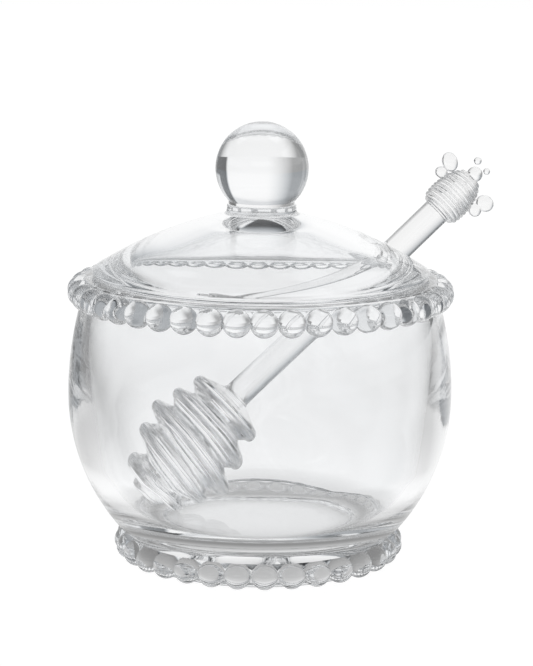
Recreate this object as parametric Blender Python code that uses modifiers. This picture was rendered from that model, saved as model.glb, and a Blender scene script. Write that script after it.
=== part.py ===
"""A beaded glass honey pot with a lift-off lid and a glass dipper that leans out through the lid's notch.

Lengths are metres and +Z is up. The origin is on the pot's axis, in the plane that its foot stands on.
The pot and the lid are turned shapes, as they come from a press mould. The dipper is worked from glass
rod: a ribbed head, a straight shaft and a small bee with four wings and two feelers at its top.
"""

import math

import bmesh
import bpy
from mathutils import Matrix, Vector

# Pot, outside: a half ellipse above the belly and a deeper one below it
POT_HEIGHT = 0.084
BELLY_RADIUS = 0.05685
BELLY_HEIGHT = 0.049
OUTLINE_RISE = 0.076
OUTLINE_DROP = 0.0585
RIM_STEP = 0.0003
RIM_ROUND = 0.001
LIP_ROUND = 0.0012

# Pot, inside
WALL = 0.0054
CAVITY_HEIGHT = 0.058
CAVITY_RISE = 0.0646
CAVITY_DROP = 0.072
FLOOR_HEIGHT = 0.0125
CORNER_REACH = 0.023
CORNER_RISE = 0.018

# Foot: a ring round a shallow recess
FOOT_RADIUS = 0.0384
FOOT_HEIGHT = 0.0078
FOOT_ROUND = 0.0015
RECESS_RADIUS = 0.030
RECESS_DEPTH = 0.0025
RECESS_ROUND = 0.001

# Beads under the rim and round the foot, each string turned a little past the front
RIM_BEADS = 44
RIM_BEAD_RADIUS = 0.004
RIM_BEAD_DROP = 0.0042
RIM_BEAD_STAND = 0.001
RIM_BEAD_TURN = math.radians(1.29)
FOOT_BEADS = 32
FOOT_BEAD_RADIUS = 0.00385
FOOT_BEAD_LIFT = 0.0001
FOOT_BEAD_STAND = 0.001
FOOT_BEAD_TURN = math.radians(2.92)
BEAD_GAP = 0.0002

# Lid: a heavy dome on a plain edge, with a low boss under its middle and a wide ring below that centres it
LID_SEAT = 0.0022
LID_EDGE_ROUND = 0.001
LID_EDGE_SLOPE = math.radians(32.4)
CROWN_RADIUS = 0.0943
LID_THICKNESS = 0.0062
BOSS_RADIUS = 0.0165
BOSS_DEPTH = 0.001
REGISTER_PLAY = 0.0009
REGISTER_WALL = 0.0065
REGISTER_DEPTH = 0.0038
REGISTER_ROUND = 0.0008
SKIRT_REACH = 0.012

# Lid, on top: a flared collar, a short neck and a solid ball, and the notch's play round the shaft
FLARE_REACH = 0.0014
COLLAR_RADIUS = 0.0102
COLLAR_RISE = 0.0014
COLLAR_BAND = 0.0013
COLLAR_ROUND = 0.0005
NECK_RADIUS = 0.0097
NECK_RISE = 0.0008
KNOB_RADIUS = 0.01365
NOTCH_PLAY = 0.0016

# Dipper: how it leans, seen from above, and the sizes along its shaft from the nose
LEAN_DIRECTION = math.radians(20.5)
LEAN_OFFSET = 0.0064
NOSE_SETBACK = 0.0167
NOSE_RADIUS = 0.006
NOSE_RISE = 0.003
FIRST_RIB = 0.0052
RIB_PITCH = 0.0072
RIB_RADIUS = 0.0165
RIB_ROUND = 0.0021
GROOVE_DEPTH = 0.0034
RIB_SHARES = (0.68, 0.87, 1.0, 0.885, 0.78)
HEAD_NECK = 0.0045
SHAFT_RADIUS = 0.00427
SHAFT_END = 0.125

# Bee: sizes along the shaft, from where it sits on the shaft's end
BEE_TURN = math.radians(157.2)
BEE_LENGTH = 0.0139
BEE_RADIUS = 0.0068
THREADS = 10
THREAD_DEPTH = 0.0003
BEE_LENGTH_SHARES = (0.0, 0.06, 0.2, 0.35, 0.55, 0.7, 0.86, 1.0)
BEE_RADIUS_SHARES = (0.8, 0.93, 0.99, 1.0, 0.97, 0.89, 0.76, 0.5)
BEE_HEAD_RADIUS = 0.0023
FEELER_RADIUS = 0.0012
FEELER_SPREAD = math.radians(38)
WING_THICKNESS = 0.0016
FORE_WING_LENGTH = 0.006
FORE_WING_WIDTH = 0.0048
FORE_WING_HEIGHT = 0.0118
FORE_WING_SWEEP = math.radians(20)
HIND_WING_LENGTH = 0.004
HIND_WING_WIDTH = 0.0038
HIND_WING_HEIGHT = 0.0088
HIND_WING_SWEEP = math.radians(-22)

# Gap between pieces that touch, and the distance under which the points of a seam are one
CLEARANCE = 0.0003
MERGE = 0.00001

# How finely round shapes are divided
TURN_STEPS = 44
HEAD_STEPS = 20
SHAFT_STEPS = 20
BEE_STEPS = 16
POSE_STEPS = 60


def clear_scene():
    for old in list(bpy.data.objects):
        bpy.data.objects.remove(old)


def new_collection(name):
    collection = bpy.data.collections.new(name)
    bpy.context.scene.collection.children.link(collection)
    return collection


def glass(name, colour):
    """Clear glass with its own faint colour."""
    material = bpy.data.materials.new(name)
    material.use_nodes = True
    shader = material.node_tree.nodes["Principled BSDF"]
    shader.inputs["Base Color"].default_value = (*colour, 1)
    shader.inputs["Roughness"].default_value = 0.03
    shader.inputs["Metallic"].default_value = 0
    shader.inputs["Transmission Weight"].default_value = 1
    shader.inputs["IOR"].default_value = 1.52
    return material


def add_object(name, mesh, collection, material):
    """Puts a mesh in the scene, shaded smooth where its faces meet at less than the angle of an edge."""
    mesh.shade_smooth()
    mesh.set_sharp_from_angle(angle=math.radians(40))
    if material:
        mesh.materials.append(material)
    part = bpy.data.objects.new(name, mesh)
    collection.objects.link(part)
    return part


def add_bmesh(name, shape, collection, material=None):
    mesh = bpy.data.meshes.new(name)
    shape.to_mesh(mesh)
    shape.free()
    return add_object(name, mesh, collection, material)


def add_turned(name, profile, steps, collection, material):
    """Turns a list of (radius, height) about Z. It runs up the inside, if there is one, and down the outside."""
    shape = bmesh.new()
    points = [shape.verts.new((radius, 0, height)) for radius, height in profile]
    for start, end in zip(points, points[1:]):
        shape.edges.new((start, end))
    part = add_bmesh(name, shape, collection, material)
    screw = part.modifiers.new("Turn", "SCREW")
    screw.steps = steps
    screw.render_steps = steps
    screw.use_merge_vertices = True
    screw.merge_threshold = MERGE
    screw.use_smooth_shade = True
    return part


def cutter(part):
    part.hide_render = True
    part.display_type = "WIRE"
    return part


def boolean(part, other, operation):
    modifier = part.modifiers.new(f"{operation} {other.name}", "BOOLEAN")
    modifier.operation = operation
    modifier.object = other


def arc(centre, radius, start, end, steps):
    """Points on an arc in the profile's plane, from one angle in degrees to another, above the outward axis."""
    angles = [math.radians(start + (end - start) * step / steps) for step in range(steps + 1)]
    return [(centre[0] + radius * math.cos(a), centre[1] + radius * math.sin(a)) for a in angles]


def bend(start, turn, end, steps):
    """A smooth curve between two points that leaves and arrives along the lines to a third."""
    curve = []
    for step in range(steps + 1):
        t = step / steps
        weights = ((1 - t) ** 2, 2 * t * (1 - t), t * t)
        curve.append(tuple(sum(w * p[i] for w, p in zip(weights, (start, turn, end))) for i in (0, 1)))
    return curve


def heights(start, end, steps):
    return [start + (end - start) * step / steps for step in range(steps + 1)]


def ellipse_radius(widest, height, middle, rise, drop):
    """Radius at a height of an outline that is widest at its middle."""
    reach = rise if height > middle else drop
    return widest * math.sqrt(1 - ((height - middle) / reach) ** 2)


def wall_radius(height):
    return ellipse_radius(BELLY_RADIUS, height, BELLY_HEIGHT, OUTLINE_RISE, OUTLINE_DROP)


def cavity_radius(height):
    return ellipse_radius(BELLY_RADIUS - WALL, height, CAVITY_HEIGHT, CAVITY_RISE, CAVITY_DROP)


def mouth_radius():
    return cavity_radius(POT_HEIGHT - LIP_ROUND)


def rim_bead_height():
    return POT_HEIGHT - RIM_BEAD_DROP


def cavity_corner(steps):
    """The curve from the flat of the floor to the wall, tangent to both."""
    start = (BELLY_RADIUS - WALL - CORNER_REACH, FLOOR_HEIGHT)
    end = (cavity_radius(FLOOR_HEIGHT + CORNER_RISE), FLOOR_HEIGHT + CORNER_RISE)
    below = cavity_radius(FLOOR_HEIGHT + CORNER_RISE / 2)
    turn = (end[0] - 2 * (end[0] - below), FLOOR_HEIGHT)
    return bend(start, turn, end, steps)


def pot_profile():
    """From the middle of the floor, up the inside, over the lip and down the outside to the recess."""
    lip = (mouth_radius() + LIP_ROUND, POT_HEIGHT - LIP_ROUND)
    rim_radius = wall_radius(rim_bead_height()) + RIM_STEP
    rim = (rim_radius - RIM_ROUND, POT_HEIGHT - RIM_ROUND)
    inside = [(cavity_radius(h), h) for h in heights(FLOOR_HEIGHT + CORNER_RISE, lip[1], 5)]
    outside = [(wall_radius(h), h) for h in heights(rim_bead_height(), FOOT_HEIGHT, 9)]
    ring = (FOOT_RADIUS - FOOT_ROUND, FOOT_ROUND)
    ring_inside = (RECESS_RADIUS + RECESS_ROUND, RECESS_ROUND)
    recess = (RECESS_RADIUS - RECESS_ROUND, RECESS_DEPTH - RECESS_ROUND)
    return (
        [(0, FLOOR_HEIGHT)]
        + cavity_corner(5)
        + inside[1:-1]
        + arc(lip, LIP_ROUND, 180, 90, 3)
        + arc(rim, RIM_ROUND, 90, 0, 2)
        + outside
        + [(FOOT_RADIUS, FOOT_HEIGHT)]
        + arc(ring, FOOT_ROUND, 0, -90, 2)
        + arc(ring_inside, RECESS_ROUND, 270, 180, 2)
        + arc(recess, RECESS_ROUND, 0, 90, 2)
        + [(0, RECESS_DEPTH)]
    )


def bead_string(name, count, ring_radius, height, bead_radius, turn, collection):
    """A ring of beads, each a little narrower along the ring than its share of the way round."""
    shape = bmesh.new()
    half_width = min(bead_radius, math.pi * ring_radius / count - BEAD_GAP / 2)
    squeeze = Matrix.Scale(half_width / bead_radius, 4, (0, 1, 0))
    for bead in range(count):
        place = Matrix.Rotation(turn + math.tau * bead / count - math.pi / 2, 4, "Z")
        place = place @ Matrix.Translation((ring_radius, 0, height)) @ squeeze
        bmesh.ops.create_uvsphere(shape, u_segments=8, v_segments=6, radius=bead_radius, matrix=place)
    return cutter(add_bmesh(name, shape, collection))


def add_pot(parts, cutters):
    pot = add_turned("pot", pot_profile(), TURN_STEPS, parts, glass("pot glass", (0.97, 0.98, 0.98)))
    rim_ring = wall_radius(rim_bead_height()) + RIM_BEAD_STAND
    foot_ring = FOOT_RADIUS + FOOT_BEAD_STAND
    foot_height = FOOT_BEAD_RADIUS + FOOT_BEAD_LIFT
    rim = bead_string(
        "rim beads", RIM_BEADS, rim_ring, rim_bead_height(), RIM_BEAD_RADIUS, RIM_BEAD_TURN, cutters
    )
    foot = bead_string(
        "foot beads", FOOT_BEADS, foot_ring, foot_height, FOOT_BEAD_RADIUS, FOOT_BEAD_TURN, cutters
    )
    boolean(pot, rim, "UNION")
    boolean(pot, foot, "UNION")


def dipper_pose():
    """Where the nose lies and how steeply the shaft rises, with a rib on the floor and the shaft on the lip."""
    reach = BELLY_RADIUS - WALL - NOSE_SETBACK
    lip = Vector((math.sqrt((mouth_radius() + LIP_ROUND) ** 2 - LEAN_OFFSET**2), POT_HEIGHT - LIP_ROUND))
    rise = math.pi / 4
    for _ in range(POSE_STEPS):
        deepest = max(rib_depth(rib, rise) for rib in range(len(RIB_SHARES)))
        nose = Vector((-reach, FLOOR_HEIGHT + CLEARANCE + deepest))
        run = lip - nose
        rise = math.atan2(run.y, run.x) + math.asin((SHAFT_RADIUS + LIP_ROUND + CLEARANCE) / run.length)
    along = Vector((math.cos(LEAN_DIRECTION), math.sin(LEAN_DIRECTION), 0))
    aside = Vector((-math.sin(LEAN_DIRECTION), math.cos(LEAN_DIRECTION), 0))
    return -reach * along + LEAN_OFFSET * aside + Vector((0, 0, nose.y)), rise


def rib_depth(rib, rise):
    """How far below the nose a rib reaches when the shaft rises at this angle."""
    radius = RIB_RADIUS * RIB_SHARES[rib]
    along = FIRST_RIB + RIB_PITCH * rib
    return (radius - RIB_ROUND) * math.cos(rise) + RIB_ROUND - along * math.sin(rise)


def lid_edge():
    """Middle of the lid's rounded edge, which lies just above the rim."""
    return mouth_radius() + LID_SEAT - LID_EDGE_ROUND, POT_HEIGHT + CLEARANCE + LID_EDGE_ROUND


def dome_run(radius):
    """How far in from the start of the lid's top a radius lies."""
    return lid_edge()[0] + LID_EDGE_ROUND * math.sin(LID_EDGE_SLOPE) - radius


def dome_height(radius):
    """Height of the lid's top. It leaves the edge at the edge's slope and flattens towards the middle."""
    run = dome_run(radius)
    top = lid_edge()[1] + LID_EDGE_ROUND * math.cos(LID_EDGE_SLOPE)
    return top + math.tan(LID_EDGE_SLOPE) * run - run**2 / (2 * CROWN_RADIUS)


def dome_fall(radius):
    """How steeply the lid's top falls outwards at a radius."""
    return math.tan(LID_EDGE_SLOPE) - dome_run(radius) / CROWN_RADIUS


def underside_height(radius):
    """Height of the dome's underside, which the boss lowers in the middle."""
    share = min(radius / BOSS_RADIUS, 1)
    return dome_height(radius) - LID_THICKNESS - BOSS_DEPTH * (1 - share**2) ** 2


def skirt_profile(radius, bottom):
    """The long curve in which the dome's underside turns down to the inside of the ring."""
    start = (radius - SKIRT_REACH, underside_height(radius - SKIRT_REACH))
    turn = (radius, start[1] - dome_fall(start[0]) * SKIRT_REACH)
    return bend(start, turn, (radius, bottom), 5)


def knob_profile():
    """From the dome up the flare, over the collar's rounded edge and the neck to the top of the ball."""
    flare_start = (COLLAR_RADIUS + FLARE_REACH, dome_height(COLLAR_RADIUS + FLARE_REACH))
    turn = (COLLAR_RADIUS, flare_start[1] + dome_fall(flare_start[0]) * FLARE_REACH)
    band = dome_height(COLLAR_RADIUS) + COLLAR_RISE
    collar_top = band + COLLAR_BAND
    knob = (0, collar_top + NECK_RISE + math.sqrt(KNOB_RADIUS**2 - NECK_RADIUS**2))
    neck_angle = -math.degrees(math.acos(NECK_RADIUS / KNOB_RADIUS))
    return (
        bend(flare_start, turn, (COLLAR_RADIUS, band), 3)
        + arc((COLLAR_RADIUS - COLLAR_ROUND, collar_top - COLLAR_ROUND), COLLAR_ROUND, 0, 90, 2)
        + arc(knob, KNOB_RADIUS, neck_angle, 90, 9)[:-1]
        + [(0, knob[1] + KNOB_RADIUS)]
    )


def lid_profile():
    """From the middle of the dome's underside, over the ring and the edge, and up to the top of the ball."""
    edge = lid_edge()
    base = edge[1] - LID_EDGE_ROUND
    ring = mouth_radius() - REGISTER_PLAY
    ring_inside = ring - REGISTER_WALL
    bottom = base - REGISTER_DEPTH + REGISTER_ROUND
    slope = 90 - math.degrees(LID_EDGE_SLOPE)
    profile = (
        [(r, underside_height(r)) for r in heights(0, ring_inside - SKIRT_REACH, 4)][:-1]
        + skirt_profile(ring_inside, bottom)
        + arc((ring_inside + REGISTER_ROUND, bottom), REGISTER_ROUND, 180, 270, 2)[1:]
        + arc((ring - REGISTER_ROUND, bottom), REGISTER_ROUND, 270, 360, 2)
        + [(ring, base)]
        + arc(edge, LID_EDGE_ROUND, -90, slope, 3)
        + [(r, dome_height(r)) for r in heights(edge[0], COLLAR_RADIUS + FLARE_REACH, 6)][1:-1]
        + knob_profile()
    )
    return profile[::-1]


def shaft_crossing(height):
    """Where the shaft's axis passes a height."""
    nose, rise = dipper_pose()
    run = (height - nose.z) / math.tan(rise)
    return nose.xy + run * Vector((math.cos(LEAN_DIRECTION), math.sin(LEAN_DIRECTION)))


def add_lid(parts, cutters):
    """The notch is a cylinder at the shaft's place in the lid's base, drawn out past the lid's edge."""
    lid = add_turned("lid", lid_profile(), TURN_STEPS, parts, glass("lid glass", (0.97, 0.98, 0.98)))
    base = POT_HEIGHT + CLEARANCE
    crossing = shaft_crossing(base)
    rise = dipper_pose()[1]
    half_width = SHAFT_RADIUS + NOTCH_PLAY
    centre = crossing.length - SHAFT_RADIUS / math.sin(rise) - NOTCH_PLAY + half_width
    shape = bmesh.new()
    corner = half_width / math.cos(math.pi / SHAFT_STEPS)
    depth = 2 * (REGISTER_DEPTH + dome_height(COLLAR_RADIUS) - base)
    bmesh.ops.create_cone(
        shape, cap_ends=True, segments=SHAFT_STEPS, radius1=corner, radius2=corner, depth=depth
    )
    turned = Matrix.Rotation(math.pi / SHAFT_STEPS, 4, "Z")
    bmesh.ops.transform(shape, matrix=turned, verts=shape.verts)
    for point in shape.verts:
        if point.co.x > 0:
            point.co.x += BELLY_RADIUS
    notch = cutter(add_bmesh("notch", shape, cutters))
    direction = crossing.normalized()
    notch.location = (centre * direction.x, centre * direction.y, base)
    notch.rotation_euler.z = math.atan2(direction.y, direction.x)
    boolean(lid, notch, "DIFFERENCE")


def head_profile():
    """The ribbed head from its neck down to the nose, as distances along the shaft."""
    neck_top = FIRST_RIB + RIB_PITCH * (len(RIB_SHARES) - 1) + HEAD_NECK
    profile = [(0, neck_top), (SHAFT_RADIUS, neck_top)]
    for rib in reversed(range(len(RIB_SHARES))):
        radius = RIB_RADIUS * RIB_SHARES[rib]
        along = FIRST_RIB + RIB_PITCH * rib
        profile += arc((radius - RIB_ROUND, along), RIB_ROUND, 80, -80, 4)
        if rib:
            narrower = min(radius, RIB_RADIUS * RIB_SHARES[rib - 1])
            profile.append((narrower - GROOVE_DEPTH, along - RIB_PITCH / 2))
    quarter = [math.pi / 2 * step / 3 for step in range(3, -1, -1)]
    return profile + [(NOSE_RADIUS * math.sin(a), NOSE_RISE * (1 - math.cos(a))) for a in quarter]


def bee_profile():
    """The bee's body from its neck down to the shaft, wound with threads of glass."""
    crests = 2 * THREADS
    profile = [(0, BEE_LENGTH)]
    for step in range(crests, -1, -1):
        share = step / crests
        radius = BEE_RADIUS * table_share(share) - THREAD_DEPTH * (step % 2)
        profile.append((radius, BEE_LENGTH * share))
    return profile + [(0, 0)]


def table_share(share):
    """The bee's radius share at a length share, on straight lines between those of the table."""
    pairs = list(zip(BEE_LENGTH_SHARES, BEE_RADIUS_SHARES))
    for (start, first), (end, second) in zip(pairs, pairs[1:]):
        if share <= end:
            return first + (second - first) * (share - start) / (end - start)
    return BEE_RADIUS_SHARES[-1]


def place(part, parent, height, turn=0):
    part.parent = parent
    part.location.z = height
    part.rotation_euler.z = turn


def add_ball(name, radius, size, parts, material):
    """A sphere, or an ellipsoid with these three sizes."""
    shape = bmesh.new()
    stretch = Matrix.Diagonal((size[0] / (2 * radius), size[1] / (2 * radius), size[2] / (2 * radius), 1))
    bmesh.ops.create_uvsphere(shape, u_segments=12, v_segments=8, radius=radius, matrix=stretch)
    return add_bmesh(name, shape, parts, material)


def add_bee(dipper, parts):
    """Body, head, two feelers on the head, and a fore and a hind wing on each side."""
    material = glass("bee glass", (0.97, 0.97, 0.96))
    seat = SHAFT_END + CLEARANCE
    body = add_turned("bee_body", bee_profile(), BEE_STEPS, parts, material)
    place(body, dipper, seat, BEE_TURN)
    head_height = seat + BEE_LENGTH + CLEARANCE + BEE_HEAD_RADIUS
    size = (2 * BEE_HEAD_RADIUS,) * 3
    head = add_ball("bee_head", BEE_HEAD_RADIUS, size, parts, material)
    place(head, dipper, head_height, BEE_TURN)
    frame = Matrix.Rotation(BEE_TURN, 3, "Z")
    sides = {"left": 1, "right": -1}
    for side, sign in sides.items():
        size = (2 * FEELER_RADIUS,) * 3
        feeler = add_ball(f"feeler_{side}", FEELER_RADIUS, size, parts, material)
        away = BEE_HEAD_RADIUS + FEELER_RADIUS + CLEARANCE
        offset = frame @ Vector((sign * away * math.sin(FEELER_SPREAD), 0, away * math.cos(FEELER_SPREAD)))
        feeler.parent = dipper
        feeler.location = Vector((0, 0, head_height)) + offset
    wings = (
        ("fore", FORE_WING_LENGTH, FORE_WING_WIDTH, FORE_WING_HEIGHT, FORE_WING_SWEEP),
        ("hind", HIND_WING_LENGTH, HIND_WING_WIDTH, HIND_WING_HEIGHT, HIND_WING_SWEEP),
    )
    for name, length, width, height, sweep in wings:
        for side, sign in sides.items():
            size = (length, WING_THICKNESS, width)
            wing = add_ball(f"wing_{name}_{side}", length / 2, size, parts, material)
            root = BEE_RADIUS * table_share(height / BEE_LENGTH) + CLEARANCE
            reach = Vector((math.cos(sweep), 0, math.sin(sweep))) * length / 2
            offset = frame @ Vector((sign * (root + reach.x), 0, reach.z))
            wing.parent = dipper
            wing.location = Vector((0, 0, seat + height)) + offset
            wing.rotation_euler = (0, -sign * sweep, BEE_TURN)


def add_dipper(parts):
    """Head, shaft and bee on one empty at the nose, which carries their lean."""
    dipper = bpy.data.objects.new("dipper", None)
    parts.objects.link(dipper)
    nose, rise = dipper_pose()
    dipper.location = nose
    dipper.rotation_euler = (0, math.pi / 2 - rise, LEAN_DIRECTION)
    profile = head_profile()
    head = add_turned("dipper_head", profile, HEAD_STEPS, parts, glass("head glass", (0.96, 0.96, 0.95)))
    place(head, dipper, 0)
    start = profile[0][1] + CLEARANCE
    shape = bmesh.new()
    bmesh.ops.create_cone(
        shape,
        cap_ends=True,
        segments=SHAFT_STEPS,
        radius1=SHAFT_RADIUS,
        radius2=SHAFT_RADIUS,
        depth=SHAFT_END - start,
    )
    shaft = add_bmesh("dipper_shaft", shape, parts, glass("shaft glass", (0.97, 0.97, 0.97)))
    place(shaft, dipper, (start + SHAFT_END) / 2)
    add_bee(dipper, parts)


clear_scene()
honey_pot = new_collection("honey pot")
helpers = new_collection("cutters")
add_pot(honey_pot, helpers)
add_lid(honey_pot, helpers)
add_dipper(honey_pot)
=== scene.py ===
import math

import bmesh
import bpy
import numpy as np
from mathutils import Matrix, Vector


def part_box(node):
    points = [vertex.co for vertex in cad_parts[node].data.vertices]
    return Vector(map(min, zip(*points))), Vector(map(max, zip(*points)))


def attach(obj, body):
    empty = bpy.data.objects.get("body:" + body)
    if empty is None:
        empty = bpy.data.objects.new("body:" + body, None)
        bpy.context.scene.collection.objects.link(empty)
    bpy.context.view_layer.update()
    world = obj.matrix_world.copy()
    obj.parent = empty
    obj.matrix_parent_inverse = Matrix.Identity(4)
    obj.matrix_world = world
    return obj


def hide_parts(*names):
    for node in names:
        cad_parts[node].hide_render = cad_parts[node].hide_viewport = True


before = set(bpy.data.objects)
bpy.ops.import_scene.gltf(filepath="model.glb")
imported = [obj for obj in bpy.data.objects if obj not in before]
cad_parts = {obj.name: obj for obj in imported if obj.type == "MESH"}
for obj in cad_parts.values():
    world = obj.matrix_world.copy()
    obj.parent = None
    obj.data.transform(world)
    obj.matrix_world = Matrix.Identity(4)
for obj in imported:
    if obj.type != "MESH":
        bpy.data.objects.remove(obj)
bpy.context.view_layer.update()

# Pot
# A bowl of clear pressed glass with a string of beads under its rim and another round its foot. It comes
# out of the mould in one piece, so the beads are united with the wall, and it stands on a ring round a
# shallow recess.
POT_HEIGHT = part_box("pot")[1].z
BELLY_RADIUS = 0.05685
BELLY_HEIGHT = 0.049
OUTLINE_RISE = 0.076
OUTLINE_DROP = 0.0585
RIM_STEP = 0.0003
RIM_ROUND = 0.001
LIP_ROUND = 0.0012
WALL = 0.0054
CAVITY_HEIGHT = 0.058
CAVITY_RISE = 0.0646
CAVITY_DROP = 0.072
FLOOR_HEIGHT = 0.0125
CORNER_REACH = 0.023
CORNER_RISE = 0.018
FOOT_RADIUS = 0.0384
FOOT_HEIGHT = 0.0078
FOOT_ROUND = 0.0015
FOOT_CORNER = 0.0006
RECESS_RADIUS = 0.030
RECESS_DEPTH = 0.0025
RECESS_ROUND = 0.0011
RIM_BEADS = 44
RIM_BEAD_RADIUS = 0.00399
RIM_BEAD_HEIGHT = POT_HEIGHT - 0.0042
RIM_BEAD_TURN = math.radians(1.29)
FOOT_BEADS = 32
FOOT_BEAD_RADIUS = 0.00385
FOOT_BEAD_HEIGHT = 0.00395
FOOT_BEAD_TURN = math.radians(2.92)
BEAD_STAND = 0.001
BEAD_SEGMENTS = 44
BEAD_RINGS = 28
CREASE = math.radians(38)
SEAM = 0.00001
GLASS_BEND = 1.52
PRESSED_CLEAR = (0.99, 0.995, 1.0)


def arc(centre, radius, start, end, steps):
    """Points on an arc of a profile, from one angle in degrees to another, above the outward axis."""
    angles = [math.radians(start + (end - start) * step / steps) for step in range(steps + 1)]
    return [(centre[0] + radius * math.cos(a), centre[1] + radius * math.sin(a)) for a in angles]


def stations(start, end, steps):
    """Even places from one value to another, both ends included."""
    return [start + (end - start) * step / steps for step in range(steps + 1)]


def bend(start, turn, end, steps):
    """A smooth curve from one point to another that leaves and arrives along the lines to a third."""
    curve = []
    for t in stations(0, 1, steps):
        weights = ((1 - t) ** 2, 2 * t * (1 - t), t * t)
        curve.append(tuple(sum(w * p[i] for w, p in zip(weights, (start, turn, end))) for i in (0, 1)))
    return curve


def outline(widest, height, middle, rise, drop):
    """Radius at a height of a half ellipse that is widest at its middle."""
    reach = rise if height > middle else drop
    return widest * math.sqrt(1 - ((height - middle) / reach) ** 2)


def wall_radius(height):
    """Radius of the pot's outside."""
    return outline(BELLY_RADIUS, height, BELLY_HEIGHT, OUTLINE_RISE, OUTLINE_DROP)


def cavity_radius(height):
    """Radius of the pot's inside."""
    return outline(BELLY_RADIUS - WALL, height, CAVITY_HEIGHT, CAVITY_RISE, CAVITY_DROP)


def cavity_corner(steps):
    """The curve from the flat of the floor to the wall, tangent to both."""
    start = (BELLY_RADIUS - WALL - CORNER_REACH, FLOOR_HEIGHT)
    end = (cavity_radius(FLOOR_HEIGHT + CORNER_RISE), FLOOR_HEIGHT + CORNER_RISE)
    below = cavity_radius(FLOOR_HEIGHT + CORNER_RISE / 2)
    return bend(start, (2 * below - end[0], FLOOR_HEIGHT), end, steps)


def scene_object(name, shape):
    """Makes a finished bmesh an object of the scene, and frees it."""
    mesh = bpy.data.meshes.new(name)
    shape.to_mesh(mesh)
    shape.free()
    piece = bpy.data.objects.new(name, mesh)
    bpy.context.scene.collection.objects.link(piece)
    return piece


def turned(name, profile, steps):
    """A profile of (radius, height), up its inside and down its outside, turned about Z and closed."""
    shape = bmesh.new()
    points = [shape.verts.new((radius, 0, height)) for radius, height in profile]
    line = [shape.edges.new(pair) for pair in zip(points, points[1:])]
    bmesh.ops.spin(
        shape, geom=points + line, cent=(0, 0, 0), axis=(0, 0, 1), angle=math.tau, steps=steps
    )
    bmesh.ops.remove_doubles(shape, verts=shape.verts, dist=SEAM)
    bmesh.ops.recalc_face_normals(shape, faces=shape.faces)
    piece = scene_object(name, shape)
    piece.data.shade_smooth()
    return piece


def bead_string_tree():
    """Every other bead of a string, as spheres on a circle."""
    tree = bpy.data.node_groups.new("string of beads", "GeometryNodeTree")
    sizes = ("Ring Radius", "Height", "Bead Radius", "Turn")
    tree.interface.new_socket(name="Geometry", in_out="INPUT", socket_type="NodeSocketGeometry")
    tree.interface.new_socket(name="Beads", in_out="INPUT", socket_type="NodeSocketInt")
    for size in sizes:
        tree.interface.new_socket(name=size, in_out="INPUT", socket_type="NodeSocketFloat")
    tree.interface.new_socket(name="Glass", in_out="INPUT", socket_type="NodeSocketMaterial")
    tree.interface.new_socket(name="Geometry", in_out="OUTPUT", socket_type="NodeSocketGeometry")
    made, given = tree.nodes, tree.nodes.new("NodeGroupInput").outputs
    circle = made.new("GeometryNodeMeshCircle")
    tree.links.new(given["Beads"], circle.inputs["Vertices"])
    tree.links.new(given["Ring Radius"], circle.inputs["Radius"])
    spin = made.new("ShaderNodeCombineXYZ")
    tree.links.new(given["Turn"], spin.inputs["Z"])
    lift = made.new("ShaderNodeCombineXYZ")
    tree.links.new(given["Height"], lift.inputs["Z"])
    placed = made.new("GeometryNodeTransform")
    tree.links.new(circle.outputs["Mesh"], placed.inputs["Geometry"])
    tree.links.new(spin.outputs["Vector"], placed.inputs["Rotation"])
    tree.links.new(lift.outputs["Vector"], placed.inputs["Translation"])
    bead = made.new("GeometryNodeMeshUVSphere")
    bead.inputs["Segments"].default_value = BEAD_SEGMENTS
    bead.inputs["Rings"].default_value = BEAD_RINGS
    tree.links.new(given["Bead Radius"], bead.inputs["Radius"])
    strung = made.new("GeometryNodeInstanceOnPoints")
    tree.links.new(placed.outputs["Geometry"], strung.inputs["Points"])
    tree.links.new(bead.outputs["Mesh"], strung.inputs["Instance"])
    real = made.new("GeometryNodeRealizeInstances")
    tree.links.new(strung.outputs["Instances"], real.inputs["Geometry"])
    glazed = made.new("GeometryNodeSetMaterial")
    tree.links.new(real.outputs["Geometry"], glazed.inputs["Geometry"])
    tree.links.new(given["Glass"], glazed.inputs["Material"])
    tree.links.new(glazed.outputs["Geometry"], made.new("NodeGroupOutput").inputs["Geometry"])
    return tree


def set_inputs(modifier, **values):
    """Sets a tree's named inputs on its modifier."""
    for socket in modifier.node_group.interface.items_tree:
        if socket.in_out == "INPUT" and socket.name in values:
            modifier[socket.identifier] = values[socket.name]


def united(piece, others, material, operation="UNION"):
    """Unites closed meshes with a piece, or cuts them from it, and leaves one plain mesh of one glass."""
    for other in others:
        joining = piece.modifiers.new(other.name, "BOOLEAN")
        joining.operation = operation
        joining.solver = "MANIFOLD"
        joining.object = other
    graph = bpy.context.evaluated_depsgraph_get()
    mesh = bpy.data.meshes.new_from_object(piece.evaluated_get(graph))
    piece.modifiers.clear()
    piece.data = mesh
    for other in others:
        bpy.data.objects.remove(other)
    mesh.shade_smooth()
    mesh.set_sharp_from_angle(angle=CREASE)
    mesh.materials.clear()
    mesh.materials.append(material)


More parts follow.
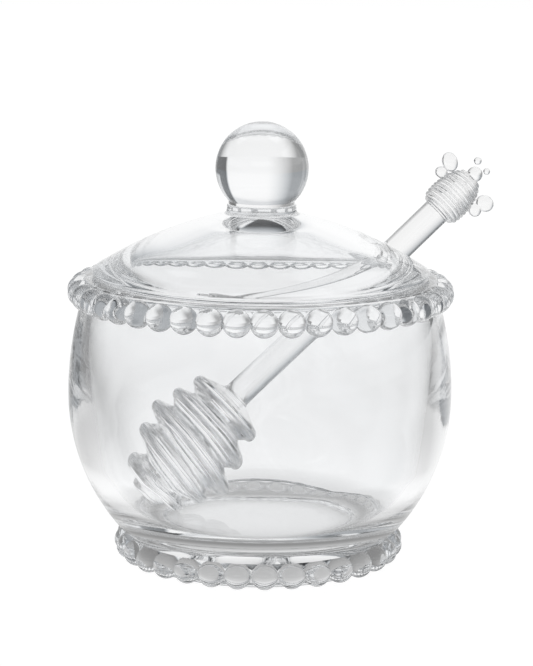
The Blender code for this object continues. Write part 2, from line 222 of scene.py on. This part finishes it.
def waviness_group():
    """Height of a glass surface that is smooth but not flat: long soft waves and a finer ripple."""
    group = bpy.data.node_groups.new("glass waviness", "ShaderNodeTree")
    for name in ("Wave Scale", "Ripple Scale", "Ripple"):
        group.interface.new_socket(name=name, in_out="INPUT", socket_type="NodeSocketFloat")
    group.interface.new_socket(name="Height", in_out="OUTPUT", socket_type="NodeSocketFloat")
    given = group.nodes.new("NodeGroupInput").outputs
    where = group.nodes.new("ShaderNodeTexCoord").outputs["Object"]
    heights = []
    for name in ("Wave Scale", "Ripple Scale"):
        noise = group.nodes.new("ShaderNodeTexNoise")
        noise.inputs["Detail"].default_value = 1
        group.links.new(where, noise.inputs["Vector"])
        group.links.new(given[name], noise.inputs["Scale"])
        heights.append(noise.outputs["Fac"])
    mixed = group.nodes.new("ShaderNodeMath")
    mixed.operation = "MULTIPLY_ADD"
    group.links.new(heights[1], mixed.inputs[0])
    group.links.new(given["Ripple"], mixed.inputs[1])
    group.links.new(heights[0], mixed.inputs[2])
    group.links.new(mixed.outputs[0], group.nodes.new("NodeGroupOutput").inputs["Height"])
    return group


waviness = waviness_group()


def glass(name, colour, waves, ripples, ripple, depth):
    """Clear glass of one colour, whose surface has its own waves and ripples to the metre."""
    material = bpy.data.materials.new(name)
    material.use_nodes = True
    nodes, links = material.node_tree.nodes, material.node_tree.links
    shader = nodes["Principled BSDF"]
    shader.inputs["Base Color"].default_value = (*colour, 1)
    shader.inputs["Roughness"].default_value = 0.0
    shader.inputs["IOR"].default_value = GLASS_BEND
    shader.inputs["Transmission Weight"].default_value = 1
    surface = nodes.new("ShaderNodeGroup")
    surface.node_tree = waviness
    surface.inputs["Wave Scale"].default_value = waves
    surface.inputs["Ripple Scale"].default_value = ripples
    surface.inputs["Ripple"].default_value = ripple
    bump = nodes.new("ShaderNodeBump")
    bump.inputs["Strength"].default_value = 1
    bump.inputs["Distance"].default_value = depth
    links.new(surface.outputs["Height"], bump.inputs["Height"])
    links.new(bump.outputs["Normal"], shader.inputs["Normal"])
    return material


def bead_string(name, beads, ring_radius, height, bead_radius, turn, material):
    """A string of beads as two sets of every other bead, so that no bead of a set meets its neighbour."""
    sets = []
    for first in (0, 1):
        half = bpy.data.objects.new(f"{name}_{first}", bpy.data.meshes.new(f"{name}_{first}"))
        bpy.context.scene.collection.objects.link(half)
        strung = half.modifiers.new("beads", "NODES")
        strung.node_group = bead_tree
        angle = turn - math.pi / 2 + first * math.tau / beads
        sizes = {"Ring Radius": ring_radius, "Height": height, "Bead Radius": bead_radius}
        set_inputs(strung, Beads=beads // 2, Turn=angle, Glass=material, **sizes)
        sets.append(half)
    return sets


def pot_profile():
    """From the middle of the floor, up the inside, over the lip and down the outside to the recess."""
    mouth = cavity_radius(POT_HEIGHT - LIP_ROUND)
    lip = (mouth + LIP_ROUND, POT_HEIGHT - LIP_ROUND)
    rim = (wall_radius(RIM_BEAD_HEIGHT) + RIM_STEP - RIM_ROUND, POT_HEIGHT - RIM_ROUND)
    floor_flat = [(r, FLOOR_HEIGHT) for r in stations(0, BELLY_RADIUS - WALL - CORNER_REACH, 6)]
    inside = [(cavity_radius(h), h) for h in stations(FLOOR_HEIGHT + CORNER_RISE, lip[1], 40)]
    outside = [(wall_radius(h), h) for h in stations(RIM_BEAD_HEIGHT, FOOT_HEIGHT, 60)]
    ring = (FOOT_RADIUS - FOOT_ROUND, FOOT_ROUND)
    ring_inside = (RECESS_RADIUS + RECESS_ROUND, RECESS_ROUND)
    recess = (RECESS_RADIUS - RECESS_ROUND, RECESS_DEPTH - RECESS_ROUND)
    return (
        floor_flat[:-1]
        + cavity_corner(24)
        + inside[1:-1]
        + arc(lip, LIP_ROUND, 180, 90, 8)
        + arc(rim, RIM_ROUND, 90, 0, 8)
        + outside
        + arc((FOOT_RADIUS + FOOT_CORNER, FOOT_HEIGHT - FOOT_CORNER), FOOT_CORNER, 90, 180, 5)
        + arc(ring, FOOT_ROUND, 0, -90, 8)
        + arc(ring_inside, RECESS_ROUND, 270, 180, 6)
        + arc(recess, RECESS_ROUND, 0, 90, 6)
        + [(r, RECESS_DEPTH) for r in stations(recess[0], 0, 6)][1:]
    )


bead_tree = bead_string_tree()
pot_glass = glass("pot_glass", PRESSED_CLEAR, waves=35, ripples=160, ripple=0.05, depth=0.00015)
pot = turned("pot_body", pot_profile(), steps=176)
rim_ring = wall_radius(RIM_BEAD_HEIGHT) + BEAD_STAND
foot_ring = FOOT_RADIUS + BEAD_STAND
strings = bead_string(
    "rim", RIM_BEADS, rim_ring, RIM_BEAD_HEIGHT, RIM_BEAD_RADIUS, RIM_BEAD_TURN, pot_glass
) + bead_string(
    "foot", FOOT_BEADS, foot_ring, FOOT_BEAD_HEIGHT, FOOT_BEAD_RADIUS, FOOT_BEAD_TURN, pot_glass
)
united(pot, strings, pot_glass)
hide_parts("pot")
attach(pot, "pot")

# Lid
# A domed lid of the same pressed glass, with a ring below that centres it in the mouth and a solid ball
# on a collar as its knob. A notch cut in from the edge lets the dipper's shaft out.
LID_SEAT = 0.0022
LID_BASE = POT_HEIGHT + 0.0003
LID_EDGE_ROUND = 0.001
LID_EDGE_SLOPE = math.radians(32.4)
CROWN_RADIUS = 0.0943
LID_THICKNESS = 0.0062
BOSS_RADIUS = 0.0165
BOSS_DEPTH = 0.001
REGISTER_PLAY = 0.0009
REGISTER_DEPTH = 0.0038
REGISTER_ROUND = 0.0008
REGISTER_WALL = 0.0065
SKIRT_REACH = 0.012
FLARE_REACH = 0.0014
COLLAR_RADIUS = 0.0102
COLLAR_RISE = 0.0014
COLLAR_BAND = 0.0013
COLLAR_ROUND = 0.0005
NECK_RADIUS = 0.0097
NECK_RISE = 0.0008
KNOB_RADIUS = 0.01365
NOTCH_PLAY = 0.0016
SHAFT_RADIUS = 0.00427
MOUTH_RADIUS = cavity_radius(POT_HEIGHT - LIP_ROUND)
lid_edge = (MOUTH_RADIUS + LID_SEAT - LID_EDGE_ROUND, LID_BASE + LID_EDGE_ROUND)


def dome_run(radius):
    """How far in from the start of the lid's top a radius lies."""
    return lid_edge[0] + LID_EDGE_ROUND * math.sin(LID_EDGE_SLOPE) - radius


def dome_height(radius):
    """Height of the lid's top, from the slope at its edge to the flatter middle."""
    start = lid_edge[1] + LID_EDGE_ROUND * math.cos(LID_EDGE_SLOPE)
    run = dome_run(radius)
    return start + math.tan(LID_EDGE_SLOPE) * run - run**2 / (2 * CROWN_RADIUS)


def dome_fall(radius):
    """How steeply the lid's top falls outwards at a radius."""
    return math.tan(LID_EDGE_SLOPE) - dome_run(radius) / CROWN_RADIUS


def underside_height(radius):
    """The dome's underside, with a low boss below the knob where the glass is thickest."""
    share = min(radius / BOSS_RADIUS, 1)
    return dome_height(radius) - LID_THICKNESS - BOSS_DEPTH * (1 - share**2) ** 2


def lid_profile():
    """From the middle of the underside, down its skirt, over the edge, and up to the top of the ball."""
    ring = MOUTH_RADIUS - REGISTER_PLAY
    ring_inside = ring - REGISTER_WALL
    bottom = LID_BASE - REGISTER_DEPTH + REGISTER_ROUND
    skirt = (ring_inside - SKIRT_REACH, underside_height(ring_inside - SKIRT_REACH))
    turn = (ring_inside, skirt[1] - dome_fall(skirt[0]) * SKIRT_REACH)
    flare = (COLLAR_RADIUS + FLARE_REACH, dome_height(COLLAR_RADIUS + FLARE_REACH))
    flare_turn = (COLLAR_RADIUS, flare[1] + dome_fall(flare[0]) * FLARE_REACH)
    band = dome_height(COLLAR_RADIUS) + COLLAR_RISE
    collar_top = band + COLLAR_BAND
    neck_top = collar_top + NECK_RISE
    knob = (0, neck_top + math.sqrt(KNOB_RADIUS**2 - NECK_RADIUS**2))
    neck_angle = -math.degrees(math.acos(NECK_RADIUS / KNOB_RADIUS))
    return (
        [(r, underside_height(r)) for r in stations(0, skirt[0], 40)][:-1]
        + bend(skirt, turn, (ring_inside, bottom), 24)
        + arc((ring_inside + REGISTER_ROUND, bottom), REGISTER_ROUND, 180, 270, 6)[1:]
        + arc((ring - REGISTER_ROUND, bottom), REGISTER_ROUND, 270, 360, 6)
        + [(ring, LID_BASE)]
        + arc(lid_edge, LID_EDGE_ROUND, -90, 90 - math.degrees(LID_EDGE_SLOPE), 12)
        + [(r, dome_height(r)) for r in stations(lid_edge[0], flare[0], 36)][1:-1]
        + bend(flare, flare_turn, (COLLAR_RADIUS, band), 14)
        + arc((COLLAR_RADIUS - COLLAR_ROUND, collar_top - COLLAR_ROUND), COLLAR_ROUND, 0, 90, 5)
        + [(NECK_RADIUS, collar_top + NECK_RISE / 3)]
        + arc(knob, KNOB_RADIUS, neck_angle, 90, 40)[:-1]
        + [(0, knob[1] + KNOB_RADIUS)]
    )


def solid_points(node):
    """The corners of a node's solid, each one once."""
    corners = np.array([corner.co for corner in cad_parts[node].data.vertices])
    return np.unique(np.round(corners, 6), axis=0)


shaft_points = solid_points("dipper_shaft")
shaft_middle = shaft_points.mean(0)
shaft_axis = np.linalg.svd(shaft_points - shaft_middle)[2][0]
shaft_axis *= np.sign(shaft_axis[2])
nose = shaft_middle + shaft_axis * ((solid_points("dipper_head") - shaft_middle) @ shaft_axis).min()


def shaft_at(height):
    """Where the dipper's axis passes a height."""
    return Vector(nose + shaft_axis * (height - nose[2]) / shaft_axis[2])


def notch_cutter():
    """A cylinder at the shaft's place in the lid's base, whose outer half is drawn out past the edge."""
    crossing = shaft_at(LID_BASE).xy
    half_width = SHAFT_RADIUS + NOTCH_PLAY
    inner_end = crossing.length - SHAFT_RADIUS / shaft_axis[2] - NOTCH_PLAY
    shape = bmesh.new()
    depth = 2 * (dome_height(COLLAR_RADIUS) - LID_BASE + REGISTER_DEPTH)
    bmesh.ops.create_cone(
        shape, cap_ends=True, segments=72, radius1=half_width, radius2=half_width, depth=depth
    )
    for point in shape.verts:
        if point.co.x > SEAM:
            point.co.x += BELLY_RADIUS
    direction = crossing.normalized()
    place = Matrix.Translation((*(direction * (inner_end + half_width)), LID_BASE))
    turn = Matrix.Rotation(math.atan2(direction.y, direction.x), 4, "Z")
    shape.transform(place @ turn)
    return scene_object("notch", shape)


lid_glass = glass("lid_glass", PRESSED_CLEAR, waves=40, ripples=160, ripple=0.05, depth=0.00012)
lid = turned("lid_body", lid_profile(), steps=200)
united(lid, [notch_cutter()], lid_glass, "DIFFERENCE")
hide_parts("lid")
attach(lid, "lid")

# Dipper
# One rod of clear glass worked in the flame: five ribs wound from fine threads at its lower end to hold the
# honey, a plain shaft, and a small bee at the top, its body wound too, with four pinched drops as wings and
# two small ones as feelers. It rests on the floor and leans on the mouth.
NOSE_RADIUS = 0.006
NOSE_RISE = 0.003
FIRST_RIB = 0.0052
RIB_PITCH = 0.0072
RIB_RADIUS = 0.0165
RIB_ROUND = 0.0021
GROOVE_DEPTH = 0.0034
RIB_SHARES = (0.68, 0.87, 1.0, 0.885, 0.78)
RIB_EDGE = 80
RIDGES = 8
RIDGE_POINTS = 4
RIDGE_DEPTH = 0.00003
RIDGE_UNEVEN = 0.6
UNEVEN_OVER = 7
UNEVEN_ALONG = 900
HEAD_NECK = 0.0045
HEAD_END = FIRST_RIB + RIB_PITCH * (len(RIB_SHARES) - 1) + HEAD_NECK
LINE_ALONG = 1500
LINE_ROUND = 25
LINE_DETAIL = 1.5
LINE_HEIGHT = 0.35
SHAFT_FLARE = 1.1
SHAFT_END = 0.125
FLAME_CLEAR = (0.99, 0.99, 0.99)
BEE_TURN = math.radians(157.2)
BEE_LENGTH = 0.0141
BEE_RADIUS = 0.0068
THREADS = 11
THREAD_POINTS = 8
THREAD_DEPTH = 0.0004
BEE_LENGTH_SHARES = (0.0, 0.06, 0.2, 0.35, 0.55, 0.7, 0.86, 1.0)
BEE_RADIUS_SHARES = (0.8, 0.93, 0.99, 1.0, 0.97, 0.89, 0.77, 0.55)
BEE_HEAD_RADIUS = 0.0024
BEE_HEAD_SINK = 0.0005
BEE_HEAD_START = -42
WING_THICKNESS = 0.0017
DROP_SEGMENTS = 48
DROP_RINGS = 32
DROPS = (
    # side, place along the shaft and out from it, length, width, degrees that it is swept forwards
    ("left_feeler", 1, 0.1446, 0.0023, 0.0024, 0.0024, 0),
    ("right_feeler", -1, 0.1443, 0.0019, 0.0021, 0.0021, 0),
    ("left_fore", 1, 0.1381, 0.0080, 0.0061, 0.0049, 28),
    ("right_fore", -1, 0.1369, 0.0085, 0.0056, 0.0051, 16),
    ("left_hind", 1, 0.1339, 0.0075, 0.0040, 0.0036, -19),
    ("right_hind", -1, 0.1332, 0.0078, 0.0042, 0.0040, -24),
)


def wound_round(centre, along):
    """A rib's round edge, with the low uneven ridges of the threads that it was wound from."""
    points = []
    for share in stations(0, 1, RIDGES * RIDGE_POINTS):
        angle = math.radians(RIB_EDGE * (2 * share - 1))
        uneven = 1 + RIDGE_UNEVEN * math.sin(UNEVEN_OVER * share + UNEVEN_ALONG * along)
        radius = RIB_ROUND - RIDGE_DEPTH * uneven * (1 - math.cos(math.tau * RIDGES * share)) / 2
        points.append((centre[0] + radius * math.cos(angle), centre[1] + radius * math.sin(angle)))
    return points


def dipper_profile():
    """From the nose over the ribs, along the shaft and up the bee's body and neck to its head."""
    quarter = stations(0, math.pi / 2, 8)
    profile = [(NOSE_RADIUS * math.sin(a), NOSE_RISE * (1 - math.cos(a))) for a in quarter]
    for rib, share in enumerate(RIB_SHARES):
        along = FIRST_RIB + RIB_PITCH * rib
        profile += wound_round((RIB_RADIUS * share - RIB_ROUND, along), along)
        if rib < len(RIB_SHARES) - 1:
            narrower = RIB_RADIUS * min(share, RIB_SHARES[rib + 1])
            profile.append((narrower - GROOVE_DEPTH, along + RIB_PITCH / 2))
    neck = along + HEAD_NECK
    profile += [(SHAFT_RADIUS * SHAFT_FLARE, neck), (SHAFT_RADIUS, neck + NOSE_RISE / 3)]
    profile += [(SHAFT_RADIUS, h) for h in stations(neck + NOSE_RISE, SHAFT_END, 12)]
    for share in stations(0, 1, THREADS * THREAD_POINTS):
        radius = BEE_RADIUS * np.interp(share, BEE_LENGTH_SHARES, BEE_RADIUS_SHARES)
        radius -= THREAD_DEPTH * (1 - abs(math.cos(math.pi * THREADS * share)))
        profile.append((radius, SHAFT_END + BEE_LENGTH * share))
    head = SHAFT_END + BEE_LENGTH + BEE_HEAD_RADIUS - BEE_HEAD_SINK
    round_head = arc((0, head), BEE_HEAD_RADIUS, BEE_HEAD_START, 90, 16)
    return profile + round_head[:-1] + [(0, head + BEE_HEAD_RADIUS)]


def drop(name, centre, size, turn):
    """A pinched drop of glass: an ellipsoid of three sizes, turned in its plane."""
    shape = bmesh.new()
    place = Matrix.Translation(centre) @ Matrix.Rotation(turn, 4, "Y")
    stretch = Matrix.Diagonal((*(Vector(size) / 2), 1))
    bmesh.ops.create_uvsphere(
        shape, u_segments=DROP_SEGMENTS, v_segments=DROP_RINGS, radius=1, matrix=place @ stretch
    )
    return scene_object(name, shape)


def bee_drops():
    """Wings and feelers in the bee's own plane, each sunk a little into the body or the head."""
    drops = []
    for name, side, along, out, length, width, sweep in DROPS:
        thickness = width if "feeler" in name else WING_THICKNESS
        size = (length, thickness, width)
        drops.append(drop(name, (side * out, 0, along), size, -side * math.radians(sweep)))
    return drops


def put(tree, socket, value):
    """Sets a socket to a number, or links it to another node's output."""
    if isinstance(value, (int, float)):
        socket.default_value = value
    else:
        tree.links.new(value, socket)


def maths(tree, operation, *values):
    """A sum in a shader, on links or on numbers."""
    node = tree.nodes.new("ShaderNodeMath")
    node.operation = operation
    for socket, value in zip(node.inputs, values):
        put(tree, socket, value)
    return node.outputs["Value"]


def soft_step(tree, value, middle, softness, low=0.0, high=1.0):
    """A soft step about a value, from one level to another."""
    node = tree.nodes.new("ShaderNodeMapRange")
    node.interpolation_type = "SMOOTHSTEP"
    ends = (middle - softness / 2, middle + softness / 2, low, high)
    for name, end in zip(("From Min", "From Max", "To Min", "To Max"), ends):
        put(tree, node.inputs[name], end)
    put(tree, node.inputs["Value"], value)
    return node.outputs["Result"]


def add_wound_lines(material, place):
    """Adds the fine uneven lines round the ribs to a glass, by the dipper's own place."""
    tree = material.node_tree
    placed = tree.nodes.new("ShaderNodeMapping")
    placed.inputs["Location"].default_value = place.to_translation()
    placed.inputs["Rotation"].default_value = place.to_euler()
    tree.links.new(tree.nodes.new("ShaderNodeTexCoord").outputs["Object"], placed.inputs["Vector"])
    along = tree.nodes.new("ShaderNodeSeparateXYZ")
    tree.links.new(placed.outputs["Vector"], along.inputs["Vector"])
    drawn = tree.nodes.new("ShaderNodeMapping")
    drawn.inputs["Scale"].default_value = (LINE_ROUND, LINE_ROUND, LINE_ALONG)
    tree.links.new(placed.outputs["Vector"], drawn.inputs["Vector"])
    lines = tree.nodes.new("ShaderNodeTexNoise")
    lines.inputs["Scale"].default_value = 1
    lines.inputs["Detail"].default_value = LINE_DETAIL
    tree.links.new(drawn.outputs["Vector"], lines.inputs["Vector"])
    head_only = soft_step(tree, along.outputs["Z"], HEAD_END, HEAD_NECK / 2, LINE_HEIGHT, 0.0)
    height = maths(tree, "MULTIPLY", lines.outputs["Fac"], head_only)
    bump = tree.nodes["Bump"]
    waves = bump.inputs["Height"].links[0].from_socket
    tree.links.new(maths(tree, "ADD", waves, height), bump.inputs["Height"])


sideways = Vector((-shaft_axis[1], shaft_axis[0], 0)).normalized()
upright = Vector(shaft_axis)
lean = Matrix((sideways.cross(upright), sideways, upright)).transposed().to_4x4()
stand = Matrix.Translation(nose) @ lean
dipper_glass = glass("dipper_glass", FLAME_CLEAR, waves=60, ripples=260, ripple=0.12, depth=0.0001)
add_wound_lines(dipper_glass, stand.inverted())
dipper = turned("dipper_body", dipper_profile(), steps=144)
drops = bee_drops()
for part in drops:
    part.data.transform(Matrix.Rotation(BEE_TURN, 4, "Z"))
united(dipper, drops, dipper_glass)
dipper.data.transform(stand)
bee_nodes = [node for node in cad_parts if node.startswith(("bee", "wing", "feeler"))]
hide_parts("dipper_head", "dipper_shaft", *bee_nodes)
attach(dipper, "dipper")

# Table
# A white sheet under the pot, with the pot's own soft shadow on it. Seen directly it is white. What glass
# shows of it is a glow of painted light and shade: a painted shadow darkest where the foot presses on it,
# painted light behind the pot, and painted shade at the sides. Past the reach of the sweep it carries on
# the painted light of the wall behind, so that no line shows where they meet.
TABLE_REACH = 3.0
SHADE_REACH = 0.12
# Painted shadow of the pot round its foot, in the sheet's glow for glass: darkest where the foot presses.
SHADE_LEVELS = (
    # distance from the pot's axis, and brightness
    (0.0, 0.75),
    (0.02, 0.73),
    (0.03, 0.5),
    (0.036, 0.25),
    (0.042, 0.42),
    (0.05, 0.76),
    (0.07, 0.99),
    (0.12, 0.97),
)
# Out from the foot, painted light behind the pot and painted shade at the sides, in the sheet's glow for
# glass.
OPEN_REACH = 0.13
OPEN_SOFTNESS = 0.14
OPEN_LEVELS = (
    # left and right, in degrees to the right of straight behind the pot, softness of each, and brightness
    (-37, 56, 36, 40, 0.96),
)
OPEN_SIDE = 0.32
# Farther out, painted light and shade like the wall behind, in the same glow.
SWEEP_REACH = 0.4
SWEEP_SOFTNESS = 0.03
SWEEP_LEVELS = (
    # left, right, softness of each, and brightness, as above
    (-27, 38, 50, 6, 0.98),
    (-72, 38, 24, 6, 0.38),
    (-80, -49, 20, 2, 0.46),
    (120, 240, 30, 30, 0.22),
)
SWEEP_SIDE = 0.15
SEEN_GLOW = 0.94
PAPER_WHITE = 0.4


def between(tree, bearing, left, right, soft_left, soft_right):
    """Full between two bearings in degrees, and soft at each of them."""
    middle, half = math.radians(left + right) / 2, math.radians(right - left) / 2
    off = maths(tree, "WRAP", maths(tree, "SUBTRACT", bearing, middle), math.pi, -math.pi)
    from_left = soft_step(tree, off, -half, math.radians(soft_left))
    from_right = soft_step(tree, off, half, math.radians(soft_right), 1.0, 0.0)
    return maths(tree, "MULTIPLY", from_left, from_right)


def brightest(tree, bearing, ranges, level):
    """The brightest of a few ranges of bearings, each with soft ends, above a common level."""
    for *sides, brightness in ranges:
        lit = maths(tree, "MULTIPLY", between(tree, bearing, *sides), brightness)
        level = maths(tree, "MAXIMUM", level, lit)
    return level


def camera_or(tree, seen, shown):
    """One level for what the camera sees directly, and another for what glass shows."""
    mix = tree.nodes.new("ShaderNodeMix")
    tree.links.new(tree.nodes.new("ShaderNodeLightPath").outputs["Is Camera Ray"], mix.inputs["Factor"])
    put(tree, mix.inputs["A"], shown)
    put(tree, mix.inputs["B"], seen)
    return mix.outputs["Result"]


table_shape = bmesh.new()
bmesh.ops.create_circle(table_shape, cap_ends=True, segments=96, radius=TABLE_REACH)
table = scene_object("table", table_shape)
table_paper = bpy.data.materials.new("white_paper")
table_paper.use_nodes = True
sheet = table_paper.node_tree
sheet.nodes.remove(sheet.nodes["Principled BSDF"])
where = sheet.nodes.new("ShaderNodeTexCoord").outputs["Object"]
across = sheet.nodes.new("ShaderNodeSeparateXYZ")
sheet.links.new(where, across.inputs["Vector"])
bearing = maths(sheet, "ARCTAN2", across.outputs["X"], across.outputs["Y"])
from_foot = sheet.nodes.new("ShaderNodeVectorMath")
from_foot.operation = "LENGTH"
sheet.links.new(where, from_foot.inputs[0])
distance = from_foot.outputs["Value"]
# The painted shadow round the foot, as a ramp by distance from the pot's axis.
shade = sheet.nodes.new("ShaderNodeValToRGB")
shade.color_ramp.interpolation = "EASE"
while len(shade.color_ramp.elements) < len(SHADE_LEVELS):
    shade.color_ramp.elements.new(1)
for stop, (place, brightness) in zip(shade.color_ramp.elements, SHADE_LEVELS):
    stop.position = place / SHADE_REACH
    stop.color = (brightness, brightness, brightness, 1)
sheet.links.new(maths(sheet, "DIVIDE", distance, SHADE_REACH), shade.inputs["Fac"])
# Painted light and shade by bearing, blended out from the painted shadow near the foot; only glass sees
# this glow.
painted_sheet_light = brightest(sheet, bearing, OPEN_LEVELS, OPEN_SIDE)
painted_sweep_light = brightest(sheet, bearing, SWEEP_LEVELS, SWEEP_SIDE)
shown = soft_step(sheet, distance, OPEN_REACH, OPEN_SOFTNESS, shade.outputs["Color"], painted_sheet_light)
shown = soft_step(sheet, distance, SWEEP_REACH, SWEEP_SOFTNESS, shown, painted_sweep_light)
glow = sheet.nodes.new("ShaderNodeEmission")
sheet.links.new(camera_or(sheet, SEEN_GLOW, shown), glow.inputs["Strength"])
paper = sheet.nodes.new("ShaderNodeBsdfDiffuse")
sheet.links.new(camera_or(sheet, PAPER_WHITE, 0.0), paper.inputs["Color"])
both = sheet.nodes.new("ShaderNodeAddShader")
sheet.links.new(glow.outputs["Emission"], both.inputs[0])
sheet.links.new(paper.outputs["BSDF"], both.inputs[1])
sheet.links.new(both.outputs["Shader"], sheet.nodes["Material Output"].inputs["Surface"])
table.data.materials.append(table_paper)

# Room
# Seen directly it is pure white. Glass shows a dark studio with the white sweep behind the pot, grey at its
# left, soft boxes high on both sides, low ones beside it, and a low window in front. They draw its edges.
ROOM_LEVEL = 0.02
ROOM_COLOUR = (0.86, 0.93, 1.0)
BOXES = (
    # left and right, in degrees to the right of straight behind the pot, bottom and top, softness of each
    # of the four, and brightness
    (-27, 38, -30, 34, 50, 6, 10, 24, 1.0),
    (-27, 38, -30, 58, 50, 6, 10, 12, 0.78),
    (-72, 38, -30, 30, 24, 6, 10, 20, 0.38),
    (-80, -49, -30, 30, 20, 2, 10, 20, 0.46),
    (38, 84, -30, 30, 6, 20, 10, 20, 0.18),
    (30, 110, 58, 78, 16, 16, 8, 8, 0.95),
    (-85, -55, 42, 60, 12, 12, 8, 8, 0.85),
    (150, 210, 9, 24, 14, 14, 10, 8, 0.85),
    (120, 240, -30, 52, 30, 30, 10, 20, 0.18),
    (84, 150, -30, 18, 14, 14, 10, 8, 0.5),
    (-150, -84, 4, 18, 14, 14, 8, 8, 0.45),
)
REFLECTED_BOX = (56, 118, 4, 40, 6, 6, 6, 6, 0.8)


def lit_box(tree, bearing, height, left, right, bottom, top, *rest):
    """How bright a soft-edged box is in a direction. All its places are in degrees."""
    soft_left, soft_right, soft_bottom, soft_top, brightness = rest
    low = soft_step(tree, height, math.radians(bottom), math.radians(soft_bottom))
    high = soft_step(tree, height, math.radians(top), math.radians(soft_top), brightness, 0.0)
    upright = maths(tree, "MULTIPLY", low, high)
    return maths(tree, "MULTIPLY", upright, between(tree, bearing, left, right, soft_left, soft_right))


room = bpy.data.worlds.new("room")
bpy.context.scene.world = room
room.use_nodes = True
air = room.node_tree
towards = air.nodes.new("ShaderNodeSeparateXYZ")
air.links.new(air.nodes.new("ShaderNodeTexCoord").outputs["Generated"], towards.inputs["Vector"])
bearing = maths(air, "ARCTAN2", towards.outputs["X"], towards.outputs["Y"])
height = maths(air, "ARCSINE", towards.outputs["Z"])
shown = ROOM_LEVEL
for box in BOXES:
    shown = maths(air, "MAXIMUM", shown, lit_box(air, bearing, height, *box))
mirrored = air.nodes.new("ShaderNodeLightPath").outputs["Is Glossy Ray"]
soft_box = maths(air, "MULTIPLY", lit_box(air, bearing, height, *REFLECTED_BOX), mirrored)
shown = maths(air, "MAXIMUM", shown, soft_box)
level = camera_or(air, 1.0, shown)
background = air.nodes["Background"]
air.links.new(level, background.inputs["Strength"])
tint = air.nodes.new("ShaderNodeMix")
tint.data_type = "RGBA"
dim_and_bright = tint.inputs[6:8]
for socket, colour in zip(dim_and_bright, (ROOM_COLOUR, (1, 1, 1))):
    socket.default_value = (*colour, 1)
air.links.new(level, tint.inputs["Factor"])
air.links.new(tint.outputs[2], background.inputs["Color"])

# Camera
# It stands in front of the pot and a little above it, and has the photograph's slight roll. Its lens is
# given by the pixels that the photograph has on its long side.
LENS_PIXELS = 2296.2
LONG_SIDE_PIXELS = 666
CAMERA_DISTANCE = 0.680
CAMERA_DROP = math.radians(11.218)
CAMERA_ROLL = math.radians(0.6)
AIM = Vector((0.0018, 0, 0.06684))
GLASS_BOUNCES = 256
camera_data = bpy.data.cameras.new("camera")
camera_data.lens = camera_data.sensor_width * LENS_PIXELS / LONG_SIDE_PIXELS
camera = bpy.data.objects.new("camera", camera_data)
bpy.context.scene.collection.objects.link(camera)
tilt = Matrix.Rotation(math.pi / 2 - CAMERA_DROP, 4, "X")
away = Vector((0, -math.cos(CAMERA_DROP), math.sin(CAMERA_DROP))) * CAMERA_DISTANCE
camera.matrix_world = Matrix.Translation(AIM + away) @ tilt @ Matrix.Rotation(CAMERA_ROLL, 4, "Z")
bpy.context.scene.camera = camera
bpy.context.scene.view_settings.view_transform = "Standard"
cycles = bpy.context.scene.cycles
cycles.max_bounces = cycles.transmission_bounces = cycles.glossy_bounces = GLASS_BOUNCES
